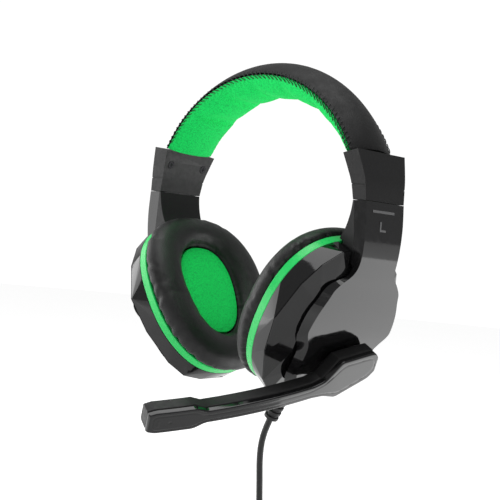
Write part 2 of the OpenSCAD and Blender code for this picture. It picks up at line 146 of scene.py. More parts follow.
def grid_faces(rows, columns, wrap_rows=False, wrap_columns=True):
    """Quads of a grid of points, counted row by row, that may close on itself either way."""
    faces = []
    for i in range(rows if wrap_rows else rows - 1):
        for j in range(columns if wrap_columns else columns - 1):
            a, b = i * columns + j, i * columns + (j + 1) % columns
            c, d = (i + 1) % rows * columns + (j + 1) % columns, (i + 1) % rows * columns + j
            faces.append((a, b, c, d))
    return faces


def outwards(mesh):
    """Turns every face of a closed mesh outwards."""
    work = bmesh.new()
    work.from_mesh(mesh)
    bmesh.ops.recalc_face_normals(work, faces=work.faces)
    work.to_mesh(mesh)
    work.free()


def between(a, b, c, d, t):
    """The point at a share t of the way from b to c, on a smooth curve through all four."""
    return 0.5 * (2 * b + (c - a) * t + (2 * a - 5 * b + 4 * c - d) * t**2 + (3 * b - a - 3 * c + d) * t**3)


def catmull(points, steps):
    """A smooth curve through points, with a number of steps between each pair."""
    line = []
    p = [Vector(q) for q in points]
    for i in range(len(p) - 1):
        a, b, c, d = p[max(i - 1, 0)], p[i], p[i + 1], p[min(i + 2, len(p) - 1)]
        line += [between(a, b, c, d, k / steps) for k in range(steps)]
    line.append(p[-1])
    return line


def across_of(vector, along):
    """The part of a vector that is square to a unit direction."""
    return vector - along * vector.dot(along)


def tube_mesh(name, line, radius, sides=10, closed=False):
    """A round tube along a line of points in millimetres, its sections turned as little as possible."""
    count = len(line)
    points = []
    normal = None
    for i, point in enumerate(line):
        before = line[i - 1] if closed else line[max(i - 1, 0)]
        after = line[(i + 1) % count] if closed else line[min(i + 1, count - 1)]
        along = (after - before).normalized()
        if normal is None:
            normal = along.orthogonal().normalized()
        normal = across_of(normal, along).normalized()
        other = along.cross(normal)
        for k in range(sides):
            turn = 2 * math.pi * k / sides
            points.append(point + radius * (math.cos(turn) * normal + math.sin(turn) * other))
    faces = grid_faces(count, sides, wrap_rows=closed)
    if not closed:
        faces.append(tuple(range(sides))[::-1])
        faces.append(tuple((count - 1) * sides + k for k in range(sides)))
    mesh = mesh_from(name, points, faces)
    outwards(mesh)
    smooth_shade(mesh, 50)
    return mesh


def signed_power(value, exponent):
    return math.copysign(abs(value) ** exponent, value)


def ease(value, low, high):
    """A smooth step from 0 at low to 1 at high."""
    t = min(max((value - low) / (high - low), 0), 1)
    return t * t * (3 - 2 * t)


def cup_place(side, n, w, u):
    """A point from the cup's own axes: n outwards through the cup, w backwards and u up."""
    c, s = math.cos(CUP_LEAN), math.sin(CUP_LEAN)
    return Vector((SIDES[side] * (CUP_AT.x + n * c + u * s), CUP_AT.y + w, CUP_AT.z - n * s + u * c))


def cup_matrix(side):
    """From the cup's own axes, n, w and u in millimetres, to the headset's."""
    origin = cup_place(side, 0, 0, 0)
    columns = [cup_place(side, *axis) - origin for axis in ((1, 0, 0), (0, 1, 0), (0, 0, 1))]
    turned = Matrix(columns).transposed().to_4x4()
    return Matrix.Translation(origin) @ turned


def cup_edge(turn, grow):
    """The cup's egg-shaped outline, grown by a margin, at a turn in radians."""
    u = signed_power(math.sin(turn), 2 / PLUMP)
    w = (CUP_HALF_W + grow) * signed_power(math.cos(turn), 2 / PLUMP) * (1 + EGG * u)
    return w, (CUP_HALF_H + grow) * u


def arch_place(angle, out, y):
    """A point of the headband: degrees round the arch, distance out from the stitched edge, and y."""
    a = math.radians(angle)
    normal = Vector((math.cos(a) / ARCH_W, 0, math.sin(a) / ARCH_H)).normalized()
    return Vector((ARCH_W * math.cos(a), y, ARCH_Z + ARCH_H * math.sin(a))) + out * normal


def rise(angle):
    """Grows from 0 at the end caps to 1 at the top of the arch."""
    share = math.sin(math.pi * min(max((angle - ARCH_END) / (180 - 2 * ARCH_END), 0), 1))
    return share**0.6


# ---------- materials ----------

def scaled(color, factor):
    return [min(c * factor, 1) for c in color]


class Shader:
    """A principled material with short ways to add texture, ramp and bump nodes."""

    def __init__(self, name, color, roughness, **sockets):
        self.material = bpy.data.materials.new(name)
        self.material.use_nodes = True
        self.tree = self.material.node_tree
        self.bsdf = self.tree.nodes["Principled BSDF"]
        self.bsdf.inputs["Base Color"].default_value = (*color, 1)
        self.bsdf.inputs["Roughness"].default_value = roughness
        for socket, value in sockets.items():
            self.bsdf.inputs[socket.replace("_", " ")].default_value = value
        self.place = self.tree.nodes.new("ShaderNodeTexCoord").outputs["Object"]
        self.material.diffuse_color = (*color, 1)

    def node(self, kind, inputs=None, **settings):
        made = self.tree.nodes.new(f"ShaderNode{kind}")
        for key, value in settings.items():
            setattr(made, key, value)
        for key, value in (inputs or {}).items():
            if isinstance(value, bpy.types.NodeSocket):
                self.tree.links.new(value, made.inputs[key])
            else:
                made.inputs[key].default_value = value
        return made

    def link(self, output, socket):
        self.tree.links.new(output, self.bsdf.inputs[socket])

    def noise(self, scale, detail=3, roughness=0.5, vector=None):
        made = self.node("TexNoise", {"Vector": vector or self.place, "Scale": scale, "Detail": detail,
                                      "Roughness": roughness})
        return made.outputs["Fac"]

    def cells(self, scale, feature="F1", vector=None):
        made = self.node("TexVoronoi", {"Vector": vector or self.place, "Scale": scale}, feature=feature)
        return made.outputs["Distance"]

    def mapped(self, value, low, high, to_low=0.0, to_high=1.0):
        made = self.node("MapRange", {"Value": value, "From Min": low, "From Max": high, "To Min": to_low,
                                      "To Max": to_high})
        return made.outputs["Result"]

    def tinted(self, share, color, low, high):
        """The colour, from its low to its high multiple as the share grows."""
        return self.mixed(share, scaled(color, low), scaled(color, high))

    def mixed(self, share, low, high):
        made = self.node("Mix", data_type="RGBA")
        for key, value in ((0, share), (6, low), (7, high)):
            if isinstance(value, bpy.types.NodeSocket):
                self.tree.links.new(value, made.inputs[key])
            else:
                made.inputs[key].default_value = value if key == 0 else (*value, 1)
        return made.outputs[2]

    def math(self, operation, a, b=0.0):
        made = self.node("Math", {0: a, 1: b}, operation=operation)
        return made.outputs[0]

    def bump(self, height, distance, strength=1.0, base=None):
        inputs = {"Height": height, "Distance": distance, "Strength": strength}
        if base is not None:
            inputs["Normal"] = base
        made = self.node("Bump", inputs)
        self.link(made.outputs["Normal"], "Normal")
        return made.outputs["Normal"]


def gloss_plastic(name, color, roughness=0.08, variation=0.3):
    """Polished moulded plastic: a faint moulding ripple, dulled patches and fine scuffs."""
    m = Shader(name, color, roughness, IOR=1.5)
    m.link(m.tinted(m.noise(60, 4), color, 1 - variation, 1 + variation), "Base Color")
    m.link(m.mapped(m.noise(240, 5, 0.6), 0.35, 0.75, roughness * 0.7, roughness * 1.7), "Roughness")
    ripple = m.bump(m.noise(28, 1), 0.00025, 0.12)
    m.bump(m.noise(900, 2), 0.00002, 0.25, ripple)
    return m.material


def satin_plastic(name, color, roughness=0.42):
    """Spark-eroded moulded plastic: an even fine grain that catches light unevenly."""
    m = Shader(name, color, roughness, IOR=1.36)
    m.link(m.tinted(m.noise(90, 4), color, 0.82, 1.2), "Base Color")
    m.link(m.mapped(m.noise(400, 4, 0.6), 0.3, 0.7, roughness - 0.07, roughness + 0.1), "Roughness")
    m.bump(m.cells(2600), 0.00004, 0.5)
    return m.material


def leatherette(name, color, roughness, ior):
    """Pressed leather grain: small cells with creases between them, over soft broad variation, and painted
    shade that darkens the creases.
    """
    m = Shader(name, color, roughness, IOR=ior, Sheen_Weight=0.03, Sheen_Roughness=0.4)
    warped = m.node("VectorMath", {0: m.place, 1: (0, 0, 0)}, operation="ADD")
    shift = m.node("TexNoise", {"Vector": m.place, "Scale": 500, "Detail": 1})
    spread = m.node("VectorMath", {0: shift.outputs["Color"], "Scale": 0.0006}, operation="SCALE")
    m.tree.links.new(spread.outputs[0], warped.inputs[1])
    creases = m.mapped(m.cells(950, "DISTANCE_TO_EDGE", warped.outputs[0]), 0.0, 0.18)
    fine = m.noise(2600, 3, 0.6)
    # Painted shade: the colour drops to 0.6 of the base colour in the creases between the grain's cells.
    m.link(m.mixed(creases, scaled(color, 0.6), m.tinted(m.noise(45, 3), color, 0.85, 1.2)), "Base Color")
    m.link(m.mapped(m.noise(160, 4), 0.3, 0.7, roughness - 0.06, roughness + 0.1), "Roughness")
    grain = m.bump(creases, 0.00012, 0.45)
    m.bump(fine, 0.00003, 0.35, grain)
    return m.material


def knit(name, color, dark):
    """Knitted fabric: small loops from a cell pattern, with fibres, and painted shade between the loops."""
    m = Shader(name, color, 0.86, IOR=1.3, Sheen_Weight=0.15, Sheen_Roughness=0.45)
    m.bsdf.inputs["Sheen Tint"].default_value = (*[min(1, c * 1.4 + 0.02) for c in color], 1)
    loops = m.cells(1500)
    fibres = m.noise(4200, 3, 0.7)
    height = m.math("SUBTRACT", m.math("MULTIPLY", fibres, 0.35), m.math("POWER", loops, 1.6))
    tone = m.tinted(m.noise(30, 3), color, 0.92, 1.06)
    m.link(m.mixed(m.mapped(loops, 0.35, 0.8, 0, 0.75), tone, dark), "Base Color")
    m.link(m.mapped(fibres, 0.3, 0.7, 0.78, 0.95), "Roughness")
    m.bump(height, 0.00014, 0.6)
    return m.material


def rubber(name, color, roughness=0.5):
    """Matt rubber or thread, faintly mottled."""
    m = Shader(name, color, roughness, IOR=1.48)
    m.link(m.tinted(m.noise(220, 4), color, 0.75, 1.35), "Base Color")
    m.link(m.mapped(m.noise(700, 4), 0.3, 0.7, roughness - 0.1, roughness + 0.14), "Roughness")
    m.bump(m.noise(1800, 3), 0.00004, 0.4)
    return m.material


def brushed_metal(name, color, roughness, along="x"):
    """Metal with fine streaks along one axis."""
    m = Shader(name, color, roughness, Metallic=1.0)
    stretch = {"x": (60, 3000, 3000), "z": (3000, 3000, 60)}[along]
    lined = m.node("Mapping", {"Vector": m.place, "Scale": stretch}).outputs[0]
    streaks = m.noise(1, 4, 0.7, lined)
    m.link(m.tinted(streaks, color, 0.7, 1.15), "Base Color")
    m.link(m.mapped(streaks, 0.3, 0.7, roughness - 0.1, roughness + 0.14), "Roughness")
    m.bump(streaks, 0.00002, 0.3)
    return m.material


def felt(name, color):
    """Pressed felt: a tangle of light and dark fibres."""
    m = Shader(name, color, 0.95, Sheen_Weight=0.3)
    fibres = m.noise(1500, 6, 0.75)
    m.link(m.tinted(fibres, color, 0.55, 1.5), "Base Color")
    m.bump(fibres, 0.0003, 0.7)
    return m.material


def board_material(name):
    """Green solder mask over copper tracks."""
    m = Shader(name, (0.01, 0.16, 0.06), 0.3, IOR=1.5)
    tracks = m.mapped(m.cells(380, "DISTANCE_TO_EDGE"), 0.02, 0.06)
    m.link(m.mixed(tracks, (0.03, 0.3, 0.1), (0.008, 0.12, 0.045)), "Base Color")
    m.bump(tracks, 0.00004, 0.5)
    return m.material


GREEN = (0.009, 0.8, 0.145)
MATERIALS = {
    "gloss_black": gloss_plastic("gloss_black", (0.005, 0.005, 0.0053)),
    "dark_plastic": satin_plastic("dark_plastic", (0.0045, 0.0045, 0.0048)),
    "black_leatherette": leatherette("black_leatherette", (0.005, 0.0051, 0.0053), 0.43, 1.46),
    "band_leatherette": leatherette("band_leatherette", (0.004, 0.0041, 0.0043), 0.5, 1.33),
    "green_fabric": knit("green_fabric", GREEN, (0.005, 0.45, 0.08)),
    "green_plastic": gloss_plastic("green_plastic", (0.01, 0.62, 0.12), 0.3, 0.08),
    "grey_print": satin_plastic("grey_print", (0.11, 0.11, 0.112), 0.5),
    "spring_steel": brushed_metal("spring_steel", (0.2, 0.2, 0.205), 0.34, "z"),
    "screw_steel": brushed_metal("screw_steel", (0.03, 0.03, 0.032), 0.45),
    "driver_steel": brushed_metal("driver_steel", (0.42, 0.43, 0.44), 0.3),
    "brass_leaf": brushed_metal("brass_leaf", (0.6, 0.43, 0.16), 0.3, "z"),
    "wire_sleeve": rubber("wire_sleeve", (0.35, 0.02, 0.02)),
    "inner_plastic": satin_plastic("inner_plastic", (0.014, 0.014, 0.014), 0.5),
    "grey_felt": felt("grey_felt", (0.05, 0.052, 0.055)),
    "board_green": board_material("board_green"),
    "cord_rubber": rubber("cord_rubber", (0.011, 0.011, 0.0115)),
    "plug_metal": brushed_metal("plug_metal", (0.5, 0.48, 0.44), 0.2, "z"),
    "thread": rubber("thread", (0.008, 0.012, 0.01), 0.7),
}
NODE_SLOT = {part["node"]: part["material_slot"] for part in frame["record"]["subparts"]}


def paint(obj, slot):
    obj.data.materials.clear()
    obj.data.materials.append(MATERIALS[slot])


# ---------- cord ----------

CORD_ROUTE = [(18.4, -2, -188.4), (15.8, -2, -194.2), (13.8, -2, -200.2), (12.6, -1.8, -207.2),
              (12, -1, -215.2), (11.9, 0.2, -224.2), (11.9, 1.4, -234.2), (11.9, 2.5, -244.2),
              (11.9, 3.2, -254.2), (11.9, 3.6, -264.2), (11.9, 3.7, -276.2), (11.9, 3.7, -293.2)]
TAIL_ROUTE = [(-41.5, -7.7, -303.2), (-41.5, -7.7, -313.2), (-41.5, -7.7, -323.2)]
COIL_AT = Vector((-14.8, -2, -293.2))
COIL_OUTER, COIL_LAYERS = 26.7, 4
COIL_STEP_TURNS = 5 / 6
POINTS_PER_TURN = 18


def coil_line():
    """The coil's turns: each column spirals through the layers, then steps over to the next column."""
    layers = COIL_LAYERS - 1
    stages = []
    for column in range(COIL_LAYERS):
        stages.append(("spiral", column))
        if column < COIL_LAYERS - 1:
            stages.append(("step", column))
    line = []
    turn = 0.0
    edge = CORD_D * layers / 2
    for kind, column in stages:
        length = layers if kind == "spiral" else COIL_STEP_TURNS
        count = round(length * POINTS_PER_TURN)
        inwards = column % 2 == 0
        for k in range(count):
            share = k / count
            depth = layers * share if kind == "spiral" else layers
            depth = depth if inwards else layers - depth
            over = ease(share, 0, 1) if kind == "step" else 0
            angle = 2 * math.pi * (turn + length * share)
            radius = COIL_OUTER - CORD_D * depth
            y = edge - CORD_D * (column + over)
            line.append(COIL_AT + Vector((radius * math.cos(angle), y, -radius * math.sin(angle))))
        turn += length
    angle = 2 * math.pi * turn
    line.append(COIL_AT + Vector((COIL_OUTER * math.cos(angle), -edge, -COIL_OUTER * math.sin(angle))))
    return line


def make_cord():
    """The whole cord, from the gland through the coil to the plug, as one curve."""
    hanging = catmull(CORD_ROUTE, 2)
    line = hanging[:-1] + coil_line() + [Vector(p) for p in TAIL_ROUTE]
    curve = bpy.data.curves.new("cord", "CURVE")
    curve.dimensions = "3D"
    # The points' radii carry the cord's radius, because a curve's box grows by the largest of them.
    curve.bevel_depth = 1
    curve.bevel_resolution = 4
    curve.use_fill_caps = True
    spline = curve.splines.new("POLY")
    spline.points.add(len(line) - 1)
    for point, place in zip(spline.points, line):
        point.co = (*(place * MM), 1)
        point.radius = CORD_D / 2 * MM
    spline.use_smooth = True
    cord = add_object("cord", curve, "cup_left")
    paint(cord, "cord_rubber")
    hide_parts("cord_tube", "cord_coil", "cord_tail")


# ---------- moulded pieces: bevelled copies of the CAD solids ----------

# Width of the rounding in millimetres, and the angle in degrees above which an edge is rounded.
MOULDED = {
    "arm_outer": (0.2, 24), "arm_inner": (0.15, 24), "cup_shell": (0.5, 12), "cup_base": (0.3, 16),
    "cap_outer": (0.2, 24), "cap_inner": (0.15, 24), "trim_ring": (0.6, 30), "slider_rail": (0.2, 30),
}
MOULDED_ALONE = {"boom_back": (0.5, 24), "boom_hub": (0.4, 30), "cord_gland": (0.35, 30),
                 "plug_body": (0.7, 30), "cord_tie": (0.5, 30)}


def clean_copy(node, dissolve=0.6):
    """A copy of a CAD solid's mesh, with its flat faces joined up."""
    work = bmesh.new()
    work.from_mesh(nodes[node].data)
    bmesh.ops.remove_doubles(work, verts=work.verts, dist=1e-6)
    bmesh.ops.dissolve_limit(work, angle_limit=math.radians(dissolve), verts=work.verts, edges=work.edges)
    mesh = bpy.data.meshes.new(f"{node}_skin")
    work.to_mesh(mesh)
    work.free()
    return mesh


PLATE_TOP_Z, PLATE_SLOPE, PLATE_FLARE = -100, 1.2, 3.0
PLATE_N = 18
HUB_CLEAR = 11
FACES_OUT, WALL_LEAN, LEAST_WAY = 0.85, 0.6, 0.2


def rim_ways(plate_faces, origin, outward):
    """For each vertex of the plate's rim, the directions in from the edges that meet there."""
    ways = {}
    for face in plate_faces:
        for edge in face.edges:
            if all(other in plate_faces for other in edge.link_faces):
                continue
            middle = (edge.verts[0].co + edge.verts[1].co) / 2
            at_hub = across_of(middle - origin, outward).length < HUB_CLEAR * MM
            if at_hub or middle.z > (PLATE_TOP_Z - 4) * MM:
                continue
            across = face.normal.cross(edge.verts[1].co - edge.verts[0].co).normalized()
            if across.dot(face.calc_center_median() - middle) < 0:
                across.negate()
            for vert in edge.verts:
                ways.setdefault(vert, Vector()).xyz += across
    return ways


def foot_ways(work, plate_faces, outward):
    """For each vertex at the foot of the plate's walls, the direction away from the plate."""
    rim = {v for face in plate_faces for v in face.verts}
    ways = {}
    for face in work.faces:
        is_wall = face not in plate_faces and abs(face.normal.dot(outward)) < WALL_LEAN
        if is_wall and rim.intersection(face.verts):
            for vert in set(face.verts) - rim:
                ways.setdefault(vert, Vector()).xyz += across_of(face.normal, outward)
    return ways


def shift_along(ways, distance, start, end):
    """Moves each vertex along its way, from not at all to the full distance down the plate."""
    for vert, way in ways.items():
        share = ease(-vert.co.z / MM, start - PLATE_TOP_Z, end - PLATE_TOP_Z)
        if way.length > LEAST_WAY:
            vert.co += way.normalized() * distance * share * MM


def slope_plate_edge(mesh, side):
    """Draws the plate's rim in and its walls' feet out, so that the walls slope like one more facet."""
    outward = cup_matrix(side).to_3x3().col[0].normalized()
    origin = cup_place(side, 0, HUB_W, HUB_U) * MM
    work = bmesh.new()
    work.from_mesh(mesh)
    work.normal_update()
    plate_faces = set()
    for face in work.faces:
        middle = face.calc_center_median()
        on_plate = middle.z < PLATE_TOP_Z * MM and (middle - origin).dot(outward) > PLATE_N * MM
        if on_plate and face.normal.dot(outward) > FACES_OUT:
            plate_faces.add(face)
    feet = foot_ways(work, plate_faces, outward)
    shift_along(rim_ways(plate_faces, origin, outward), PLATE_SLOPE, 4, 14)
    shift_along(feet, PLATE_FLARE, 1, 9)
    work.to_mesh(mesh)
    work.free()


def make_moulded(node, width, angle):
    """A copy of a CAD node with rounded edges, which stands for the node."""
    mesh = clean_copy(node)
    if node.startswith("arm_outer"):
        slope_plate_edge(mesh, node.split("_")[-1])
    slot = NODE_SLOT[node]
    obj = add_object(f"{node}_skin", mesh, nodes[node]["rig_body"])
    paint(obj, slot)
    bevel = obj.modifiers.new("bevel", "BEVEL")
    bevel.width = width * MM
    bevel.segments = 3
    bevel.limit_method = "ANGLE"
    bevel.angle_limit = math.radians(angle)
    bevel.harden_normals = True
    bevel.use_clamp_overlap = True
    smooth_shade(mesh, angle)
    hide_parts(node)


# ---------- soft pieces ----------

CLOTH_FRAMES = 20
TINY = 1e-12


def closed_catmull(points, steps):
    """A smooth closed curve through points, with a number of steps between each pair."""
    count = len(points)
    line = []
    for i in range(count):
        a, b, c, d = (Vector(points[(i + k) % count]) for k in (-1, 0, 1, 2))
        line += [between(a, b, c, d, k / steps) for k in range(steps)]
    return line


def coordinates(mesh):
    flat = np.empty(len(mesh.vertices) * 3)
    mesh.vertices.foreach_get("co", flat)
    return flat.reshape(-1, 3)


def inflate(obj, held, pressure, growth, cap):
    """Lets the cover of a padded piece billow between its held points, moving no point past a cap."""
    scene = bpy.context.scene
    start = coordinates(obj.data)
    group = obj.vertex_groups.new(name="held")
    for index, weight in held.items():
        group.add([index], weight, "REPLACE")
    cloth = obj.modifiers.new("cloth", "CLOTH")
    settings = cloth.settings
    settings.quality = 6
    settings.mass = 0.15
    settings.tension_stiffness = settings.compression_stiffness = 8
    settings.shear_stiffness = 4
    settings.bending_stiffness = 0.05
    settings.use_pressure = True
    settings.uniform_pressure_force = pressure
    settings.vertex_group_mass = "held"
    settings.shrink_min = -growth
    settings.effector_weights.gravity = 0
    cloth.point_cache.frame_start, cloth.point_cache.frame_end = 1, CLOTH_FRAMES
    for frame_number in range(1, CLOTH_FRAMES + 1):
        scene.frame_set(frame_number)
    evaluated = obj.evaluated_get(bpy.context.evaluated_depsgraph_get())
    moved = coordinates(evaluated.data) - start
    obj.modifiers.remove(cloth)
    scene.frame_set(1)
    far = np.linalg.norm(moved, axis=1)
    moved *= (np.minimum(far, cap * np.tanh(far / cap)) / np.maximum(far, TINY))[:, None]
    obj.data.vertices.foreach_set("co", (start + moved).ravel())
    obj.data.update()


def subdivided(obj):
    """The piece's mesh after one subdivision, applied."""
    modifier = obj.modifiers.new("subdivision", "SUBSURF")
    modifier.levels = modifier.render_levels = 1
    evaluated = obj.evaluated_get(bpy.context.evaluated_depsgraph_get())
    mesh = bpy.data.meshes.new_from_object(evaluated)
    obj.modifiers.remove(modifier)
    obj.data = mesh
    return mesh


# The cushion's section: how far out of the cup's outline, and how far out along the cup's axis.
CUSHION_SECTION = [(-1.6, -5.7), (0, -6.5), (0.8, -8.3), (0.9, -10.6), (0.2, -13.1), (-1.5, -15.6),
                   (-4.2, -17.6), (-7.6, -18.6), (-10.9, -18.3), (-13.7, -17), (-16, -14.8), (-17.2, -12),
                   (-17.9, -9.2), (-12, -6.4), (-6, -6)]
SECTION_STEPS = 2
INNER_SEAM = 12
CUSHION_TURNS = 168
SCALLOP, SCALLOP_DEPTH, SCALLOP_REACH = 3.6, 0.35, 1.6
OUTER_SEAM_N, INNER_SEAM_N = -6.2, -9
MIDDLE_INSET, HOLE_INSET = 9, 17.5
HOLE_AT = Vector((-0.5, 2))
HOLE_SHAPE = Vector((0.82, 0.95))
EAR_CLOTH_N = -10.5


def outline_spots(count):
    """Turns round the cup's outline, its points there, and how far along it they lie."""
    turns = np.linspace(0, 2 * math.pi, count + 1)
    spots = [Vector(cup_edge(turn, 0)) for turn in turns]
    along = np.concatenate([[0], np.cumsum([(b - a).length for a, b in zip(spots, spots[1:])])])
    return turns, spots, along


def even_turns(count):
    """Turns that space points evenly along the cup's outline, and the outline's length."""
    turns, _, along = outline_spots(1440)
    return np.interp(np.linspace(0, along[-1], count, endpoint=False), along, turns), along[-1]


def cushion_spot(turn, grow, n):
    """A point of the cushion, whose hole sits a little above and in front of its middle."""
    w, u = cup_edge(turn, grow)
    share = ease(-grow, 3, 17)
    w *= 1 + (HOLE_SHAPE.x - 1) * share
    u *= 1 + (HOLE_SHAPE.y - 1) * share
    return n, w + HOLE_AT.x * share, u + HOLE_AT.y * share


def pucker_list(seed, around, gap, longest, deepest):
    """Small gathers along a seam: place along it, length, depth, half width and slant."""
    draw = random.Random(seed)
    found = []
    place = draw.uniform(0, gap)
    while place < around:
        size = draw.random() ** 1.6
        found.append((place, longest * (0.35 + 0.65 * size), deepest * (0.25 + 0.75 * size), 0.9 + 1.1 * size,
                      draw.uniform(-0.5, 0.5)))
        place += gap * draw.uniform(0.45, 1.7)
    return found


def gather(around, along, away, puckers):
    """How deep the gathers of a seam are at a place along it and a distance away from it."""
    depth = 0
    for place, length, deep, width, slant in puckers:
        off = (along - place - slant * away + around / 2) % around - around / 2
        if abs(off) < 4 * width and away < 1.6 * length:
            valley = math.exp(-(off / width) ** 2) - 0.45 * math.exp(-((abs(off) - 2 * width) / width) ** 2)
            depth += deep * valley * math.exp(-(away / length) ** 2)
    return depth


def gather_depth(n, inset, along, around, outer, inner):
    """How deep the cushion's cover is drawn in, beside the ring and beside the hole."""
    depth = 0
    if inset < MIDDLE_INSET:
        from_ring = OUTER_SEAM_N - n + max(inset - 1, 0)
        scallop = 0.5 + 0.5 * math.cos(2 * math.pi * along / SCALLOP)
        depth = gather(around, along, from_ring, outer)
        depth += SCALLOP_DEPTH * scallop * math.exp(-((from_ring / SCALLOP_REACH) ** 2))
    if inset > MIDDLE_INSET and n < INNER_SEAM_N:
        from_hole = math.hypot(max(HOLE_INSET - inset, 0), INNER_SEAM_N - n)
        depth += gather(around, along, from_hole, inner)
    return depth


def gather_cushion(mesh, side, around, outer, inner):
    """Presses the gathers of both seams into the cushion's mesh."""
    to_cup = cup_matrix(side).inverted()
    turns, spots, distances = outline_spots(720)
    bearings = np.unwrap([math.atan2(spot.y, spot.x) for spot in spots])
    normals = np.array([v.normal for v in mesh.vertices])
    places = coordinates(mesh)
    for i, place in enumerate(places):
        n, w, u = to_cup @ Vector(place / MM)
        if n > OUTER_SEAM_N:
            continue
        bearing = math.atan2(u, w) % (2 * math.pi)
        along = float(np.interp(bearing, bearings, distances))
        edge = cup_edge(float(np.interp(bearing, bearings, turns)), 0)
        inset = math.hypot(*edge) - math.hypot(w, u)
        places[i] -= normals[i] * gather_depth(n, inset, along, around, outer, inner) * MM
    mesh.vertices.foreach_set("co", places.ravel())
    mesh.update()


def make_cushion(side, seed):
    """The ring cushion: a leatherette cover over foam, gathered where its seams are sewn."""
    turns, around = even_turns(CUSHION_TURNS)
    section = closed_catmull(CUSHION_SECTION, SECTION_STEPS)
    rows = len(section)
    points = [cup_place(side, *cushion_spot(turn, grow, n)) for turn in turns for grow, n in section]
    mesh = mesh_from(f"cushion_{side}", points, grid_faces(CUSHION_TURNS, rows, wrap_rows=True))
    outwards(mesh)
    cushion = add_object(f"cushion_{side}", mesh, f"cup_{side}")
    back_from = SECTION_STEPS * INNER_SEAM
    hold = {k: 1.0 for k in range(rows) if k <= 1 or k >= back_from}
    hold.update({2: 0.4, back_from - 1: 0.4})
    held = {i * rows + k: weight for i in range(CUSHION_TURNS) for k, weight in hold.items()}
    inflate(cushion, held, 9, 0.035, 1.1 * MM)
    mesh = subdivided(cushion)
    smooth_shade(mesh)
    outer = pucker_list(seed, around, 12, 8, 0.85)
    inner = pucker_list(seed + 1, around, 11, 5, 0.45)
    gather_cushion(mesh, side, around, outer, inner)
    paint(cushion, "black_leatherette")
    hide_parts(f"ear_cushion_{side}")


def make_ear_cloth(side):
    """The knitted cloth over the driver, stretched in the cushion's hole and a little crowned."""
    rings, sides, crown, skirt_n = 30, 96, 1.5, -4.5
    points = [cup_place(side, EAR_CLOTH_N - crown, *HOLE_AT)]
    for r in range(1, rings + 1):
        share = r / rings
        for k in range(sides):
            w, u = cup_edge(2 * math.pi * k / sides, -17.9)
            n = EAR_CLOTH_N - crown * (1 - share**2) if r < rings else skirt_n
            spot = HOLE_AT.x + w * HOLE_SHAPE.x * share, HOLE_AT.y + u * HOLE_SHAPE.y * share
            points.append(cup_place(side, n, *spot))
    faces = [(0, 1 + k, 1 + (k + 1) % sides) for k in range(sides)]
    faces += [tuple(1 + v for v in face) for face in grid_faces(rings, sides)]
    faces.append(tuple(1 + (rings - 1) * sides + k for k in range(sides))[::-1])
    mesh = mesh_from(f"ear_cloth_{side}", points, faces)
    outwards(mesh)
    smooth_shade(mesh, 50)
    cloth = add_object(f"ear_cloth_{side}", mesh, f"cup_{side}")
    paint(cloth, "green_fabric")
    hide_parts(f"ear_mesh_{side}")


CREASES = [130, 111, 95, 77, 56]
BAND_STEPS, BAND_ACROSS = 208, 32
BACK_SPOTS = (-12.5, -6.5, 0, 6.5, 12.5)
PAD_FULLNESS, PAD_EDGE = 0.95, 0.88
EDGE_ROWS, LEAST_HOLD = 3, 0.02
STITCHES, STITCH_FROM = 54, 2
STITCH_STEP = (180 - 2 * ARCH_END - 2 * STITCH_FROM) / (STITCHES - 1)


def band_angle(step):
    return ARCH_END + (180 - 2 * ARCH_END) * step / BAND_STEPS


def crease_at(angle):
    """Depth share of the pad's cross creases at an angle, and how far the puffs between them swell."""
    nearest = min(abs(angle - c) for c in CREASES)
    return math.exp(-((nearest / 2.2) ** 2)), ease(nearest, 1.5, 8)


def stitch_pull(angle):
    """1 at a stitch and 0 midway between two."""
    off = ((angle - ARCH_END - STITCH_FROM) / STITCH_STEP + 0.5) % 1 - 0.5
    return math.exp(-((off / 0.2) ** 2))


def band_grid(name, section):
    """A closed padded skin along the headband from a section of (out, y) at each angle."""
    points = []
    for i in range(BAND_STEPS + 1):
        angle = band_angle(i)
        points += [arch_place(angle, out, y) for out, y in section(angle)]
    count = len(points) // (BAND_STEPS + 1)
    faces = grid_faces(BAND_STEPS + 1, count)
    faces.append(tuple(range(count)))
    faces.append(tuple(BAND_STEPS * count + k for k in range(count))[::-1])
    mesh = mesh_from(name, points, faces)
    outwards(mesh)
    return add_object(name, mesh, "headband"), count


def pad_depth(angle):
    return PAD_END + (PAD_THICK - PAD_END) * rise(angle)


def pad_section(angle):
    """The pad's section: full under the crown, with creases across it and pulled in at the stitches."""
    depth = pad_depth(angle)
    crease, puff = crease_at(angle)
    pull = 0.35 * stitch_pull(angle)
    line = []
    for k in range(BAND_ACROSS + 1):
        turn = math.pi * k / BAND_ACROSS
        across = math.sin(turn)
        swell = -1.3 * crease * across**0.8 + 0.7 * puff * across**2
        out = -STRIP_HALF - (depth + swell * min(depth / 6, 1)) * across**PAD_FULLNESS
        edge = BAND_HALF - pull * ease(abs(math.cos(turn)), 0.8, 1)
        line.append((out, edge * signed_power(math.cos(turn), PAD_EDGE)))
    return line + [(-STRIP_HALF, y) for y in BACK_SPOTS]


def cover_section(angle):
    """The cover's section: a lens over the strip, dimpled at the stitches."""
    height = COVER_END + (COVER_CROWN - COVER_END) * rise(angle)
    pull = stitch_pull(angle)
    line = []
    for k in range(BAND_ACROSS + 1):
        turn = math.pi * k / BAND_ACROSS
        across = max(math.sin(turn), 0)
        near = ease(abs(math.cos(turn)), 0.86, 1)
        out = STRIP_HALF + (height - STRIP_HALF) * across**2
        y = (BAND_HALF - 0.3 * pull * near) * math.cos(turn)
        line.append((out - 0.3 * pull * near * ease(across, 0, 0.3), y))
    return line + [(STRIP_HALF, y) for y in BACK_SPOTS]


